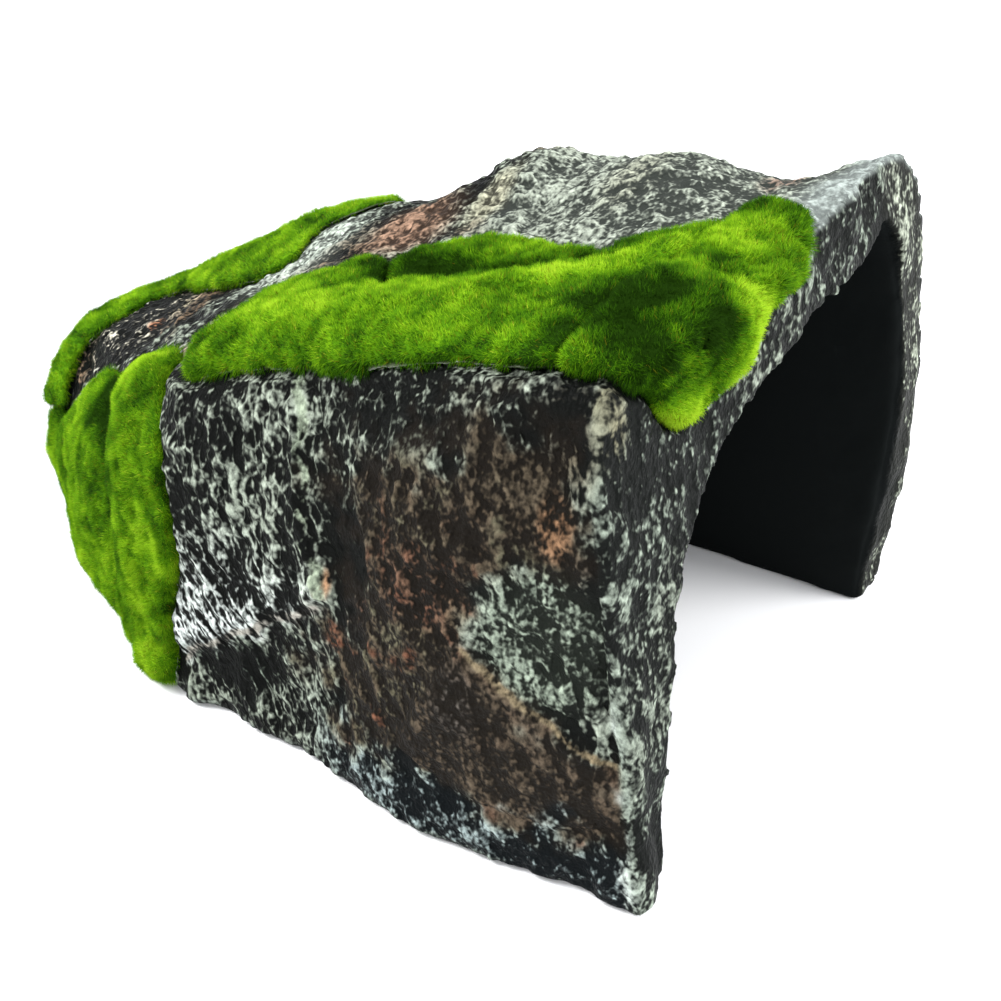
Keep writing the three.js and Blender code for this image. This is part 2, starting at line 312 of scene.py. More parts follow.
def cavity_facing(points, normals):
    """1 on the surfaces that face the middle line of the cave and 0 outside."""
    y = points[:, 1]
    middle = np.stack(
        [
            np.interp(y, [-90, 20, 66], [0, 6, 14]),
            y - 9 * blend(-70, -50, y),
            np.interp(y, [-90, -40, 20, 66], [26, 24, 13, 8]),
        ],
        axis=1,
    )
    inward = middle - points
    inward /= np.linalg.norm(inward, axis=1)[:, None] + 1e-9
    return blend(0.05, 0.4, (inward * normals).sum(1)) * (1 - blend(66, 70, y))


def near_wall(points, normals):
    """1 on the outer wall that faces -X and 0 elsewhere."""
    return blend(0.35, 0.7, -normals[:, 0]) * (1 - blend(-30, -22, points[:, 0]))


def drawn_out(points):
    """Points squeezed along the length of the tail, so that its texture comes out longer."""
    x, y, z = points.T
    return np.stack([x, y - 0.5 * np.maximum(y - 18, 0), z], axis=1)


def grain_of(points):
    """Where each point sits in the drawn-out and slightly tangled grain of the rock."""
    x, y, z = drawn_out(points).T
    back = blend(-60, -10, y)
    slant = 0.12 * z - back * 14 * blend(45, 0, z)
    grain = np.stack([y - slant, x + 0.1 * z, z / 2.1], axis=1)
    tangle = np.stack(
        [noise(points, 2.6, 61), noise(points, 2.6, 62), 0.6 * noise(points, 4.0, 63)], axis=1
    )
    return grain + 0.65 * tangle


def clear_of_beds(points):
    """0 under the moss and glue and 1 well away from them."""
    beds = tree_of(*MOSS, *GLUE)
    far = 3.5
    gaps = np.full(len(points), far)
    for i, p in enumerate(points):
        found = beds.find_nearest(Vector(p) * MM, far * MM)
        if found[0] is not None:
            gaps[i] = found[3] / MM
    return blend(0.35, 1.8, gaps)


def rock_zones(points, normals, inside):
    """How much each vertex belongs to each part of the outside, from 0 to 1."""
    x, y, z = points.T
    edge = layered(points, 5, 131, 3)
    outside = 1 - inside
    wall = near_wall(points, normals) * outside
    low = depth_inside(y, z, LOW_SLAB)
    roof = blend(0.25, 0.6, normals[:, 2]) * outside * blend(20, 40, z)
    rim = blend(0.3, 0.7, -normals[:, 1]) * outside * blend(-70, -76, y)
    zones = {
        "edge": edge,
        "wall": wall,
        "back": wall * blend(-3, 2, depth_inside(y, z, BACK_SLAB) + edge * 2),
        "brown": wall * blend(-4, 4, depth_inside(y, z, BROWN) + edge * 6),
        "speckled": wall * spot(points, (-53, -75, 43), (30, 13, 15)) * blend(-1, 2, -low),
        "low": wall * blend(-2.5, 3, low + edge * 2.5),
        "foot": wall * blend(14, 7, z + edge * 5) * blend(-26, -42, y),
        "rim": rim,
        "far_rim": rim * blend(34, 40, x),
        "roof": roof,
        "hump": roof * blend(-22, -34, y + edge * 2) * blend(-84, -76, y) * blend(-43, -36, x),
        "lip": roof * blend(-76, -82, y) * blend(-46, -39, x),
    }
    lumpy = 0.32 + 0.45 * zones["brown"] + 0.5 * zones["speckled"] + 0.4 * zones["foot"]
    zones["lumpy"] = np.clip(lumpy + 0.35 * roof + 0.3 * rim, 0, 1)
    return zones


def rock_relief(points, normals, inside, clear, zones, grain):
    """How far each vertex moves along its normal, and the fine part of that from -1 to 1."""
    x, y, z = points.T
    wall = zones["wall"]
    off_floor = blend(0.0, 1.4, z)

    # The back slab and the low slab stand out from the near wall, over an undercut.
    wobble = layered(points, 7, 31, 2) * 1.2
    inward = depth_inside(y, z, BACK_SLAB) + wobble * 0.5
    under = blend(38, 28, z)
    slab = blend(-0.6, 1.2, inward) * (1 - under) + blend(-3.0, 3.0, inward) * under
    low = blend(-0.6, 1.4, depth_inside(y, z, LOW_SLAB) + wobble * 0.5)
    coarse = 0.4 + layered(points, 19, 3, 3) * 0.9
    coarse += wall * (slab * 1.4 - 0.5)
    coarse += wall * low * 0.9
    coarse -= wall * (1 - slab) * 1.9 * spot(points, (-50, -40, 45), (30, 8, 17))
    for height, centre, size in WALL_SWELLS:
        coarse += wall * height * spot(points, centre, size)

    # The foot of the near wall, the far wall and the front rim stand out a little.
    coarse += wall * 0.8 * blend(14, 4, z)
    coarse += 0.7 * blend(0.3, 0.8, normals[:, 0]) * blend(20, 35, x)
    coarse += 0.8 * blend(0.3, 0.8, -normals[:, 1]) * blend(-70, -80, y)

    ridged = np.zeros(len(points))
    for line, height, width in RAISED_LINES:
        near = np.exp(-((line_distance(y + wobble * 0.7, z, line) / width) ** 2)) * wall
        coarse += height * near
        ridged = np.maximum(ridged, near)
    coarse += 1.1 * noise(points, 6, 211) * spot(points, (24, -88, 84), (20, 12, 12))
    for height, centre, size in ROCK_SWELLS:
        coarse += height * spot(points, centre, size)
    coarse += 1.0 * blend(0.3, 0.8, normals[:, 0]) * blend(36, 12, z)

    # The fine grain is shallower on the low slab, the raised lines and the rim.
    fine = 1.3 * noise(grain, 1.9, 51) + 0.6 * noise(points, 1.3, 52)
    depth = 0.38 * (1 - 0.3 * zones["low"]) * (1 - 0.5 * ridged)
    depth = depth * (1 - 0.4 * zones["rim"]) * (1 - 0.5 * zones["far_rim"])
    moved = off_floor * clear * ((1 - inside) * coarse + (1 - inside) ** 2 * depth * fine)
    moved += off_floor * inside * layered(points, 9, 91, 3) * 0.25
    return moved, fine


def mixed(colour, other, share):
    """Colours moved towards another by a share at each vertex."""
    return colour + (np.array(other) - colour) * np.asarray(share)[:, None]


def rock_paint(points, inside, zones):
    """Ground colour, brushed colour and brushed cover at each vertex, in linear light."""
    _, y, z = points.T
    count = len(points)
    wall, edge = zones["wall"], zones["edge"]
    broad = layered(points, 22, 151, 3)
    patch = layered(points, 3.4, 171, 3)

    ground = np.tile([0.0030, 0.0034, 0.0030], (count, 1))
    tint = np.tile([0.205, 0.232, 0.188], (count, 1))
    cover = np.full(count, 0.47) + 0.06 * broad + 0.07 * layered(points, 8, 191, 2)
    most = np.full(count, MOST_COVER)

    # Brown weathering in broad patches on the hidden sides.
    tint = mixed(tint, [0.12, 0.085, 0.055], blend(0.15, 0.6, broad) * (1 - wall))

    # The near wall, from back to front.
    back = zones["back"]
    tint = mixed(tint, [0.48, 0.52, 0.50], back * blend(46, 16, z))
    cover += 0.05 * back * blend(34, 18, z)
    brown = zones["brown"]
    brown_tint = np.tile([0.058, 0.046, 0.031], (count, 1))
    reddish = 0.85 * blend(0.1, 0.9, patch) * blend(64, 45, z)
    brown_tint = mixed(brown_tint, [0.112, 0.046, 0.027], reddish)
    brown_tint = mixed(brown_tint, [0.080, 0.074, 0.048], blend(0.15, 0.9, -patch))
    tint += (brown_tint - tint) * brown[:, None]
    cover += brown * 0.05
    ground = mixed(ground, [0.0070, 0.0056, 0.0042], brown)
    speckled = zones["speckled"]
    tint = mixed(tint, [0.185, 0.220, 0.172], blend(0.05, 0.6, speckled + 0.2 * edge * speckled))
    ground = mixed(ground, [0.009, 0.011, 0.0085], speckled)
    cover += 0.015 * speckled
    low = zones["low"]
    tint = mixed(tint, [0.056, 0.043, 0.030], low * 0.95)
    ground = mixed(ground, [0.0080, 0.0064, 0.0047], low)
    cover += low * 0.03
    foot = zones["foot"]
    tint = mixed(tint, [0.20, 0.245, 0.24], foot)
    ground = mixed(ground, [0.0030, 0.0042, 0.0048], foot)
    cover += foot * 0.01
    hem = wall * blend(2.6, 1.2, z)
    tint = mixed(tint, [0.13, 0.15, 0.13], hem)
    for centre, size, colour, share, more in WALL_PATCHES:
        here = wall * spot(points, centre, size)
        tint = mixed(tint, colour, here * share)
        cover += here * more
    for line, width, colour, more, extra in BRUSHED_LINES:
        near = np.exp(-((line_distance(y + edge * 1.3, z, line) / width) ** 2)) * wall
        tint = mixed(tint, colour, blend(0.1, 0.7, near))
        cover += near * (more + 0.20 * patch)
        most += near * extra

    # The front rim.
    rim, far_rim = zones["rim"], zones["far_rim"]
    tint = mixed(tint, [0.175, 0.205, 0.168], rim * 0.9)
    ground = mixed(ground, [0.0050, 0.0058, 0.0052], rim * 0.9)
    tint = mixed(tint, [0.25, 0.275, 0.22], far_rim)
    ground = mixed(ground, [0.012, 0.013, 0.011], far_rim)

    # The roof.
    hump, lip = zones["hump"], zones["lip"]
    ground = mixed(ground, [0.026, 0.030, 0.026], hump)
    tint = mixed(tint, [0.235, 0.26, 0.215], hump)
    cover += hump * 0.10
    ground = mixed(ground, [0.120, 0.135, 0.128], lip)
    tint = mixed(tint, [0.205, 0.232, 0.218], lip)
    cover += lip * 0.11
    for centre, size, colour, share, more in OTHER_PATCHES:
        here = spot(points, centre, size) * (1 - inside)
        tint = mixed(tint, colour, here * share)
        cover += here * more
        if more > THICK_COVER:
            ground = mixed(ground, np.array(colour) * GROUND_SHARE, here * share)

    # The paint fades into the mouth.
    cover -= 0.6 * blend(0.05, 0.5, inside)
    ground = mixed(ground, CAVE_COLOUR, blend(0.1, 0.5, inside))
    return ground, tint, np.clip(cover, 0, most)


def add(tree, kind, at, **settings):
    """A node with its sockets, or else its properties, set by name."""
    node = tree.nodes.new(kind)
    node.location = at
    for key, value in settings.items():
        if key in node.inputs:
            node.inputs[key].default_value = value
        else:
            setattr(node, key, value)
    return node


def arithmetic(tree, operation, first, second, at):
    """A Math node on two outputs or plain numbers."""
    node = add(tree, "ShaderNodeMath", at, operation=operation)
    for socket, value in zip(node.inputs, (first, second)):
        if isinstance(value, (int, float)):
            socket.default_value = value
        else:
            tree.links.new(value, socket)
    return node.outputs[0]


def map_range(tree, value, at, source, target=(0, 1), **settings):
    """A Map Range node from one range of numbers to another."""
    node = add(tree, "ShaderNodeMapRange", at, **settings)
    for end, (low, high) in (("From", source), ("To", target)):
        node.inputs[end + " Min"].default_value = low
        node.inputs[end + " Max"].default_value = high
    tree.links.new(value, node.inputs["Value"])
    return node.outputs["Result"]


def plain_material(name, colour, roughness, **settings):
    """One colour all over; in the settings, _ stands for a space in a socket's name."""
    material = bpy.data.materials.new(name)
    material.use_nodes = True
    shader = material.node_tree.nodes["Principled BSDF"]
    shader.inputs["Base Color"].default_value = (*colour, 1)
    shader.inputs["Roughness"].default_value = roughness
    for key, value in settings.items():
        shader.inputs[key.replace("_", " ")].default_value = value
    material.diffuse_color = (*colour, 1)
    return material


# Sizes of the paint's cells, crumbs and lumps, in the drawn-out coordinates of the rock.
CELL = 1.75
CRUMB = 0.85
LUMP = 0.85
TONE = 1.2
# How high the lace between the cells stands, how steeply it falls, and where it stops.
LACE_HEIGHT = 0.62
LACE_FALL = 5.2
LACE_FLOOR = -0.75
LUMP_HEIGHT = 3.2
CRUMB_HEIGHT = 0.42
# How much of the brushed height is form, and how much of that is crumbs.
FORM_SHARE = 0.26
CRUMB_SHARE = 1.1
RELIEF_SHARE = 0.13
# The heights between which paint appears, how its tone varies, and how rough it is.
BRUSHED = (0.40, 0.72)
TONES = (0.42, 1.9)
ROUGHNESS = (0.50, 0.80)
BUMP_DEPTH = 0.20
ROCK_SPECULAR = 0.03


def rock_material():
    """Dark resin whose raised grain is brushed with pale paint."""
    material = bpy.data.materials.new("painted_rock")
    material.use_nodes = True
    tree = material.node_tree
    link = tree.links.new
    shader = tree.nodes["Principled BSDF"]
    shader.inputs["Specular IOR Level"].default_value = ROCK_SPECULAR
    kept = {}
    for row, name in enumerate(("spot", "ground", "tint", "cover", "relief", "grain", "lumpy")):
        kept[name] = add(tree, "ShaderNodeAttribute", (-1500, 500 - 220 * row), attribute_name=name)

    def speckle(size, detail, at):
        node = add(tree, "ShaderNodeTexNoise", at, Scale=1 / size, Detail=detail, Roughness=0.6)
        link(kept["spot"].outputs["Vector"], node.inputs["Vector"])
        return node.outputs["Fac"]

    def maths(operation, first, second, at):
        return arithmetic(tree, operation, first, second, at)

    grit = add(tree, "ShaderNodeTexVoronoi", (-1200, 100), Scale=1 / CRUMB)
    link(kept["spot"].outputs["Vector"], grit.inputs["Vector"])
    crumbs = maths("SUBTRACT", CRUMB_HEIGHT, grit.outputs["Distance"], (-1000, 100))
    lumps = maths("SUBTRACT", speckle(LUMP, 1.0, (-1200, 300)), 0.5, (-1000, 300))
    lumps = maths("MULTIPLY", lumps, LUMP_HEIGHT, (-800, 300))
    cells = add(
        tree, "ShaderNodeTexVoronoi", (-1200, 500), feature="DISTANCE_TO_EDGE", Scale=1 / CELL
    )
    link(kept["grain"].outputs["Vector"], cells.inputs["Vector"])
    fall = maths("MULTIPLY", cells.outputs["Distance"], LACE_FALL, (-1000, 500))
    lace = maths("SUBTRACT", LACE_HEIGHT, fall, (-800, 500))
    lace = maths("MAXIMUM", lace, LACE_FLOOR, (-700, 500))
    form = add(tree, "ShaderNodeMix", (-600, 400), data_type="FLOAT")
    link(kept["lumpy"].outputs["Fac"], form.inputs["Factor"])
    link(lace, form.inputs["A"])
    link(lumps, form.inputs["B"])
    crumbs = maths("MULTIPLY", crumbs, CRUMB_SHARE, (-600, 100))
    shape = maths("ADD", form.outputs["Result"], crumbs, (-500, 200))
    raised = maths("MULTIPLY", kept["relief"].outputs["Fac"], RELIEF_SHARE, (-600, -100))
    formed = maths("MULTIPLY", shape, FORM_SHARE, (-450, 100))
    height = maths("ADD", raised, formed, (-500, 0))
    level = maths("ADD", height, kept["cover"].outputs["Fac"], (-400, 0))
    brushed = map_range(tree, level, (-200, 0), BRUSHED, interpolation_type="SMOOTHSTEP")
    amount = maths("POWER", brushed, 1.3, (0, 0))
    toned = map_range(tree, speckle(TONE, 3.0, (-1200, -300)), (-400, -300), (0.3, 0.7), TONES)
    varied = add(tree, "ShaderNodeVectorMath", (-200, -300), operation="SCALE")
    link(kept["tint"].outputs["Vector"], varied.inputs[0])
    link(toned, varied.inputs["Scale"])
    colour = add(tree, "ShaderNodeMix", (200, 200), data_type="RGBA")
    link(amount, colour.inputs["Factor"])
    link(kept["ground"].outputs["Vector"], colour.inputs["A"])
    link(varied.outputs["Vector"], colour.inputs["B"])
    link(colour.outputs["Result"], shader.inputs["Base Color"])
    matt = map_range(tree, amount, (200, -50), (0, 1), ROUGHNESS)
    link(matt, shader.inputs["Roughness"])
    bump = add(tree, "ShaderNodeBump", (200, -350), Strength=1.0, Distance=BUMP_DEPTH * MM)
    link(shape, bump.inputs["Height"])
    link(bump.outputs["Normal"], shader.inputs["Normal"])
    return material


def finer(mesh, chosen):
    """Halves the edges between chosen vertices."""
    work = bmesh.new()
    work.from_mesh(mesh)
    work.verts.ensure_lookup_table()
    edges = [e for e in work.edges if chosen[e.verts[0].index] and chosen[e.verts[1].index]]
    bmesh.ops.subdivide_edges(work, edges=edges, cuts=1, use_grid_fill=True)
    bmesh.ops.triangulate(work, faces=[f for f in work.faces if len(f.verts) > 3])
    work.to_mesh(mesh)
    work.free()


ROCK_VOXEL = 0.75
ROCK_EASINGS = 6
KEPT_FACES = 0.60
LINED_FROM = 0.6


def thinned(piece, inside):
    """Takes faces away, most of all in the cave and at the foot."""
    points = points_of(piece.data)
    plain = np.maximum(inside * blend(-84, -78, points[:, 1]), blend(0.5, 0.1, points[:, 2]))
    group = piece.vertex_groups.new(name="plain")
    steps = 10
    for level in range(1, steps + 1):
        chosen = np.nonzero((plain * steps).round().astype(int) == level)[0]
        if len(chosen):
            group.add(chosen.tolist(), level / steps, "REPLACE")
    with_modifier(piece, "TRIANGULATE")
    with_modifier(
        piece, "DECIMATE", ratio=KEPT_FACES, vertex_group="plain", vertex_group_factor=10.0
    )
    piece.vertex_groups.clear()


def in_sight(points, normals, inside, clear):
    """Which vertices lie on the faces that are usually looked at."""
    x, y, z = points.T
    seen = (normals[:, 0] < 0.0) & (x < -15) | (normals[:, 2] > 0.3) & (z > 25)
    seen |= (normals[:, 1] < -0.3) & (y < -75)
    return seen & ((inside < 0.6) | (y < -84)) & (clear > 0.02) & (z > 0.3)


def surface_of(mesh):
    """The vertices, their normals, how much each faces the cave and is clear of the beds."""
    points, normals = points_of(mesh), normals_of(mesh)
    return points, normals, cavity_facing(points, normals), clear_of_beds(points)


def rock_piece():
    """The painted shell."""
    rock = closed_copy("rock", "rock_cave_shell")
    with_modifier(rock, "REMESH", mode="VOXEL", voxel_size=ROCK_VOXEL * MM, adaptivity=0.0)
    points = points_of(rock.data)
    points = eased(rock.data, ROCK_EASINGS, held=1 - clear_of_beds(points))
    thinned(rock, cavity_facing(points, normals_of(rock.data)))
    mesh = rock.data
    finer(mesh, in_sight(*surface_of(mesh)))

    points, normals, inside, clear = surface_of(mesh)
    zones = rock_zones(points, normals, inside)
    grain = grain_of(points)
    moved, fine = rock_relief(points, normals, inside, clear, zones, grain)
    points = points + normals * moved[:, None]
    points[:, 2] = np.maximum(points[:, 2], 0)
    set_points(mesh, points)

    ground, tint, cover = rock_paint(points, inside, zones)
    store(mesh, "spot", drawn_out(points) * [1, 1, 0.8])
    store(mesh, "ground", ground)
    store(mesh, "tint", tint)
    store(mesh, "cover", cover)
    store(mesh, "relief", fine)
    store(mesh, "grain", grain)
    store(mesh, "lumpy", zones["lumpy"])
    mesh.shade_smooth()
    mesh.materials.append(rock_material())
    mesh.materials.append(
        plain_material("cave_lining", CAVE_COLOUR, 0.75, Specular_IOR_Level=ROCK_SPECULAR)
    )
    corners = np.empty(len(mesh.polygons) * 3, np.int32)
    mesh.polygons.foreach_get("vertices", corners)
    lined = inside[corners.reshape(-1, 3)].mean(1) > LINED_FROM
    mesh.polygons.foreach_set("material_index", lined.astype(np.int32))
    return rock


rock = rock_piece()
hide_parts("rock_cave_shell")
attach(rock, "root")


# ------------------------------------------------------------------------ moss

# Steps of tone from the darkest painted shade to the brightest painted highlight, one per fibre and
# also varied at random, then two stray tones.
MOSS_TONES = [
    plain_material("moss_darkest_shade", (0.010, 0.032, 0.0012), 0.9, Specular_IOR_Level=0.03),
    plain_material("moss_deep", (0.026, 0.085, 0.0018), 0.9, Specular_IOR_Level=0.03),
    plain_material("moss_shade", (0.055, 0.155, 0.0025), 0.9, Specular_IOR_Level=0.04),
    plain_material("moss_leaf", (0.105, 0.245, 0.0035), 0.85, Specular_IOR_Level=0.05),
    plain_material("moss_light", (0.175, 0.350, 0.0060), 0.85, Specular_IOR_Level=0.06),
    plain_material("moss_brightest_highlight", (0.270, 0.455, 0.0130), 0.8, Specular_IOR_Level=0.08),
    plain_material("moss_olive", (0.125, 0.125, 0.0060), 0.9, Specular_IOR_Level=0.03),
    plain_material("moss_yellow", (0.400, 0.470, 0.0300), 0.8, Specular_IOR_Level=0.08),
]
LIGHTEST = 5
OLIVE, YELLOW = 6, 7

# Rolls and folds that run over the beds: the rolls swell and carry a painted highlight, the folds
# sink and carry painted shade.
MOSS_RIDGES = [
    [
        (-38, -12, 70), (-37, -25, 74), (-37, -40, 78), (-33, -52, 81),
        (-27, -62, 84), (-20, -69, 85), (-1, -78, 87),
    ],
    [(-37, 14, 56), (-42, 12, 49), (-45, 10, 40), (-47, 9, 29), (-47, 11, 16)],
]
MOSS_VALLEYS = [
    [
        (-16, -24, 76), (-18, -33, 78), (-19, -41, 79), (-18, -48, 80),
        (-16, -55, 82), (-12, -60, 83),
    ],
    [(-26, 38, 45), (-31, 36, 42), (-37, 27, 38), (-41, 23, 30)],
]
# Thick edges along the floor: height, line, width.
MOSS_HEMS = [
    (1.0, [(-32, 46, 7), (-46, 14, 2)], 6),
    (0.6, [(-30, 50, 3), (-46, 14, 1)], 5),
]
# Swellings (or hollows): height, centre, size, and the bed if it is only one.
MOSS_SWELLS = [
    (1.3, (-14, -19, 75), (7, 7, 5), None),
    (-2.0, (14, -79, 89), (8, 10, 7), None),
    (2.4, (-48, 8, 2), (10, 10, 9), None),
    (1.6, (-10, 84, 21), (8, 9, 5), "moss_tail_side"),
    (-0.9, (-5, 87, 24), (8, 8, 7), "moss_tail_edge"),
    (-0.9, (20, 14, 72), (12, 16, 8), "moss_tail_edge"),
    (-1.0, (-2, -87, 85), (9, 7, 9), None),
    (-1.3, (-13, 81, 12), (9, 14, 10), None),
]
# Painted shade and painted highlights on the moss: tone steps, centre, size.
MOSS_PAINTED_LIGHT = [
    (-2.8, (-34, -79, 84), (19, 15, 13)),
    (1.9, (-37, -85, 70), (11, 7, 7)),
    (3.0, (-20, -87, 77), (9, 7, 15)),
    (1.7, (-9, 81, 28), (12, 12, 8)),
    (-1.1, (6, -80, 88), (16, 14, 10)),
]
BED_VOXEL = 0.9
BED_EASINGS = 4
LOWEST = 0.05
FIBRES_PER_MM2 = 30
MOST_FIBRES = 60000
FIBRE_ROOT = 0.35
FIBRE_LENGTHS = (0.35, 1.5)
shell_tree = tree_of("rock_cave_shell")


def rock_gap(points):
    """How far each point is from the rock; inside the rock it is negative."""
    gaps = np.empty(len(points))
    for i, p in enumerate(points):
        at = Vector(p) * MM
        hit, normal, _, _ = shell_tree.find_nearest(at)
        gaps[i] = (at - hit).dot(normal) / MM
    return gaps


def bed_tone(root, shade, middles):
    """The tone of the fibres nearest to each facet of the bed, their painted light and shade
    included, one step darker as painted shade under the fibres.
    """
    tree = KDTree(len(root))
    for i, p in enumerate(root):
        tree.insert(p, i)
    tree.balance()
    return [shade[[i for _, i, _ in tree.find_n(p, 4)]].mean() - 1.2 for p in middles]


def bed_swell(points, node, seed):
    """How far each point of a bed rises over its CAD form, in rolls, swellings and lumps."""
    swell = layered(points, 9, seed + 7, 2) * 0.55 + layered(points, 3.0, seed + 9, 2) * 0.35
    swell += 0.9 * sum(along(points, line, 3.5) for line in MOSS_RIDGES)
    swell -= 1.5 * sum(along(points, line[1:], 3.0) for line in MOSS_VALLEYS)
    for height, line, width in MOSS_HEMS:
        swell += height * along(points, line, width)
    for height, centre, size, only in MOSS_SWELLS:
        if only in (None, node):
            swell += height * spot(points, centre, size)
    return swell


def unit(vectors):
    """Vectors made one long."""
    return vectors / np.linalg.norm(vectors, axis=1)[:, None]


def scatter(points, faces, free, random):
    """Random places on the free part of a bed: the corners of their facets, and the weights."""
    corners = points[faces]
    doubled = np.cross(corners[:, 1] - corners[:, 0], corners[:, 2] - corners[:, 0])
    areas = np.linalg.norm(doubled, axis=1) / 2
    areas = areas * (free[faces].mean(1) > 0.05)
    wanted = int(min(MOST_FIBRES, areas.sum() * FIBRES_PER_MM2))
    picked = random.choice(len(faces), wanted, p=areas / areas.sum())
    a, b = random.random((2, wanted))
    a, b = np.where(a + b > 1, 1 - a, a), np.where(a + b > 1, 1 - b, b)
    return faces[picked], np.stack([1 - a - b, a, b], axis=1)


def fibre_points(root, out, tuft, clump, near_hem, fringe, random):
    """Three points round the foot of each fibre and one at its tip, and so on."""
    count = len(root)
    way = out + 0.55 * tuft + 0.38 * random.normal(size=(count, 3))
    way[:, 2] += 0.10 - 0.75 * near_hem
    way = unit(way)
    length = 0.75 + 0.30 * clump + 0.30 * random.random(count)
    length = np.clip(length, *FIBRE_LENGTHS) + 1.3 * fringe
    side = unit(np.cross(way, random.normal(size=(count, 3))))
    other = np.cross(way, side)
    thick = 0.050 + 0.035 * random.random(count)
    ring = []
    for turn in range(3):
        angle = 2 * np.pi * turn / 3
        spoke = side * np.cos(angle) + other * np.sin(angle)
        ring.append(root - way * FIBRE_ROOT + spoke * thick[:, None])
    tips = root + way * length[:, None]
    return np.stack([*ring, tips], axis=1).reshape(-1, 3)


def fibre_shades(root, clump, near_hem, fringe, seed, random):
    """How light each fibre is, in steps of tone: random clumps, with painted highlights and painted
    shade.
    """
    x, y, _ = root.T
    shade = 2.6 + 1.4 * layered(root, 7, seed + 60, 3) + 1.0 * clump
    shade += 0.55 * random.normal(size=len(root))
    # Painted highlight along the rolls and painted shade in the folds.
    shade += 1.2 * sum(along(root, line, 4.0) for line in MOSS_RIDGES)
    shade -= 3.6 * sum(along(root, line, 5.5) for line in MOSS_VALLEYS)
    # Painted shade where the roll turns down over the near wall, and along the fringe and hems
    # where the moss meets the rock.
    wall_top = blend(-6, -18, y) * blend(-74, -66, y)
    shade -= 0.4 * blend(-40, -46, x) * wall_top
    shade -= 0.7 * fringe + 0.7 * near_hem * blend(-28, -36, x) * blend(-4, -14, y)
    for steps, centre, size in MOSS_PAINTED_LIGHT:
        shade += steps * spot(root, centre, size)
    return shade


def fibre_tones(shade, tuft, random):
    """Which material each fibre has."""
    tone = np.clip(np.rint(shade), 0, LIGHTEST).astype(np.int32)
    odd = random.random(len(shade))
    tone[(odd < 0.03 + 0.05 * blend(0.2, 0.8, tuft)) & (shade > 1)] = OLIVE
    tone[(odd > 0.992) & (shade > 2.5)] = YELLOW
    return tone


def triangle_mesh(name, points, faces):
    """A mesh made of triangles only."""
    mesh = bpy.data.meshes.new(name)
    mesh.vertices.add(len(points))
    mesh.vertices.foreach_set("co", (points * MM).astype(np.float32).ravel())
    mesh.loops.add(faces.size)
    mesh.loops.foreach_set("vertex_index", faces.astype(np.int32).ravel())
    mesh.polygons.add(len(faces))
    mesh.polygons.foreach_set("loop_start", np.arange(0, faces.size, 3, dtype=np.int32))
    mesh.update(calc_edges=True)
    mesh.validate()
    return mesh


def moss_bed(node, seed):
    """A soft-edged mound with thousands of short leaning fibres on it."""
    random = np.random.default_rng(seed)
    piece = closed_copy(node.replace("moss_", "flock_"), node, node.replace("moss_", "glue_"))
    with_modifier(piece, "REMESH", mode="VOXEL", voxel_size=BED_VOXEL * MM, adaptivity=0.0)
    mesh = with_modifier(piece, "TRIANGULATE")
    points = eased(mesh, BED_EASINGS)
    normals = normals_of(mesh)
    free = blend(0.1, 1.2, rock_gap(points + normals * 0.8))
    hem = blend(2.4, 0.6, rock_gap(points))
    swell = bed_swell(points, node, seed)
    points = points + normals * (free * (swell + 0.2))[:, None]
    points[:, 2] = np.maximum(points[:, 2], LOWEST)
    set_points(mesh, points)
    normals = normals_of(mesh)
    faces = np.empty(len(mesh.polygons) * 3, np.int32)
    mesh.polygons.foreach_get("vertices", faces)
    faces = faces.reshape(-1, 3)

    picked, weights = scatter(points, faces, free, random)
    root = (points[picked] * weights[:, :, None]).sum(1)
    out = unit((normals[picked] * weights[:, :, None]).sum(1))
    near_hem = (hem[picked] * weights).sum(1)
    tuft = np.stack([layered(root, 2.6, seed + 20 + i, 2) for i in range(3)], axis=1)
    clump = layered(root, 2.2, seed + 40, 2)
    fringe = near_hem * blend(-0.3, 0.4, layered(root, 1.6, seed + 80, 2))
    fibres = fibre_points(root, out, tuft, clump, near_hem, fringe, random)
    fibres[:, 2] = np.maximum(fibres[:, 2], LOWEST)
    first = len(points) + 4 * np.arange(len(root))[:, None]
    pattern = np.array([0, 1, 3, 1, 2, 3, 2, 0, 3, 0, 2, 1])
    all_faces = np.concatenate([faces, (first + pattern).reshape(-1, 3)])
    made = triangle_mesh(piece.name, np.concatenate([points, fibres]), all_faces)
    made.shade_smooth()

    shade = fibre_shades(root, clump, near_hem, fringe, seed, random)
    tone = fibre_tones(shade, tuft[:, 0], random)
    for material in MOSS_TONES:
        made.materials.append(material)
    bed = bed_tone(root, shade, points[faces].mean(1))
    bed = np.clip(np.rint(bed), 0, LIGHTEST - 1).astype(np.int32)
    made.polygons.foreach_set("material_index", np.concatenate([bed, np.repeat(tone, 4)]))
    piece.data = made
    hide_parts(node)
    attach(piece, "root")


for number, node in enumerate(MOSS):
    moss_bed(node, 1000 + 100 * number)


# ------------------------------------------------------------------------ glue

FILM_VOXEL = 0.45
FILM_EASINGS = 14

glue = plain_material("clear_glue", (0.035, 0.050, 0.020), 0.18)
for node in GLUE:
    film = closed_copy(node.replace("glue_", "film_"), node)
    with_modifier(film, "REMESH", mode="VOXEL", voxel_size=FILM_VOXEL * MM, adaptivity=0.0)
    eased(film.data, FILM_EASINGS)
    film.data.materials.append(glue)
    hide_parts(node)
    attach(film, "root")


# ---------------------------------------------------- floor, lights and camera

# Metres from here on.
FLOOR_REACH = 6.0
FLOOR_DROP = 0.0002

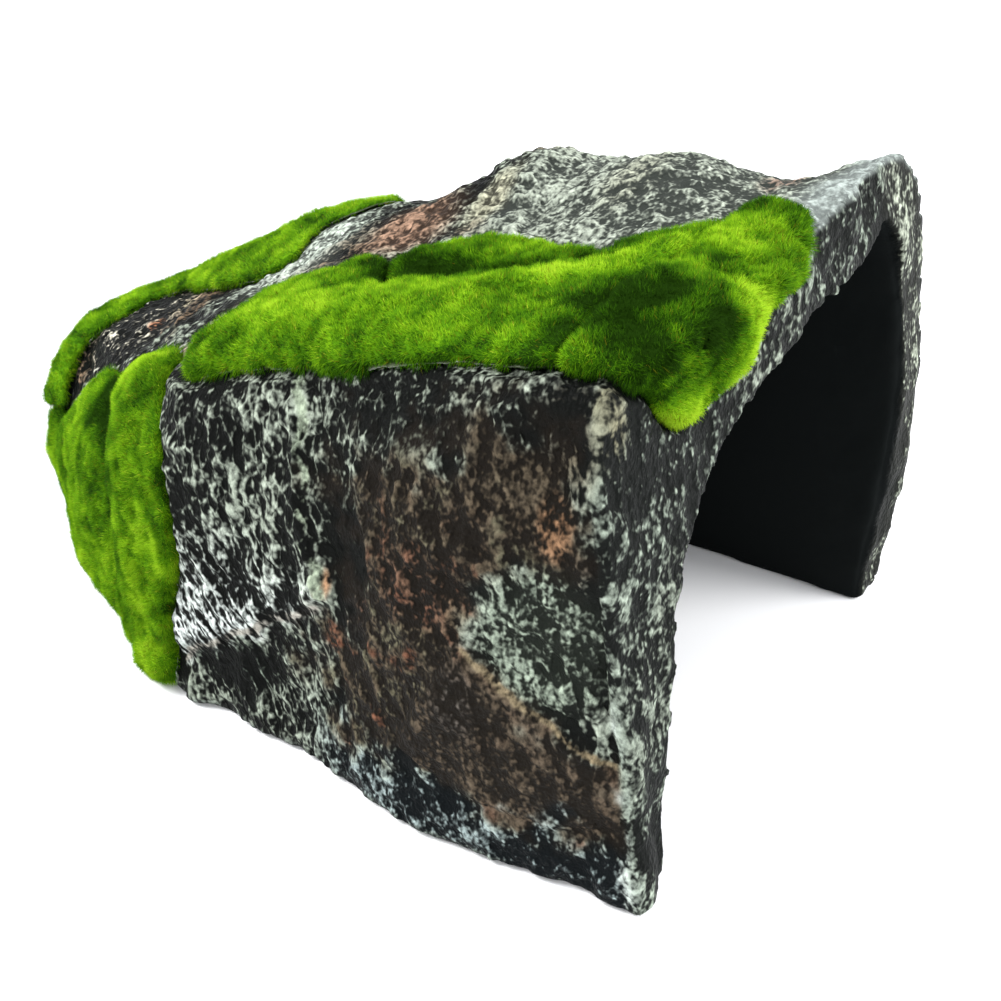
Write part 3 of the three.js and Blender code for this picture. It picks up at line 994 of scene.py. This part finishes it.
floor_mesh = bpy.data.meshes.new("floor")
floor_corners = [
    (x * FLOOR_REACH, y * FLOOR_REACH, 0) for x, y in ((-1, -1), (1, -1), (1, 1), (-1, 1))
]
floor_mesh.from_pydata(floor_corners, [], [(0, 1, 2, 3)])
floor = shown("floor", floor_mesh)
floor.location.z = -FLOOR_DROP
floor_mesh.materials.append(plain_material("pale_floor", (0.92, 0.925, 0.935), 0.9))


def area_light(name, place, aim, size, power):
    """A round soft light turned towards a point."""
    data = bpy.data.lights.new(name, "AREA")
    data.shape = "DISK"
    data.size = size
    data.energy = power
    light = bpy.data.objects.new(name, data)
    light.location = place
    light.rotation_euler = (Vector(aim) - Vector(place)).to_track_quat("-Z", "Y").to_euler()
    bpy.context.scene.collection.objects.link(light)


area_light("key", (-0.38, 0.40, 0.66), (-0.02, 0.0, 0.04), 0.36, 8.0)
area_light("front", (-0.60, -0.45, 0.30), (0, -0.03, 0.05), 0.50, 1.0)
area_light("right", (0.30, -0.75, 0.45), (0.03, -0.08, 0.0), 0.60, 9.0)

# The sky is a little brighter overhead than at the horizon.
SKY_STRENGTH = (0.95, 1.6)
world = bpy.data.worlds.new("studio")
world.use_nodes = True
sky = world.node_tree
way = add(sky, "ShaderNodeTexCoord", (-800, 0))
parts = add(sky, "ShaderNodeSeparateXYZ", (-600, 0))
sky.links.new(way.outputs["Generated"], parts.inputs[0])
glow = map_range(sky, parts.outputs["Z"], (-400, 0), (0, 0.9), SKY_STRENGTH)
sky.links.new(glow, sky.nodes["Background"].inputs["Strength"])
sky.nodes["Background"].inputs["Color"].default_value = (0.97, 0.98, 1.0, 1)
bpy.context.scene.world = world
bpy.context.scene.view_settings.view_transform = "Standard"

CAMERA_PLACE = (-0.16295, -0.13892, 0.135)
CAMERA_TURN = (61.1, 0, -57.2)
LENS = 42.69

camera_data = bpy.data.cameras.new("camera")
camera_data.lens = LENS
camera_data.sensor_width = 36
camera_data.clip_start = 0.01
camera_data.clip_end = 100
camera = bpy.data.objects.new("camera", camera_data)
camera.location = CAMERA_PLACE
camera.rotation_euler = tuple(np.radians(CAMERA_TURN))
bpy.context.scene.collection.objects.link(camera)
bpy.context.scene.camera = camera
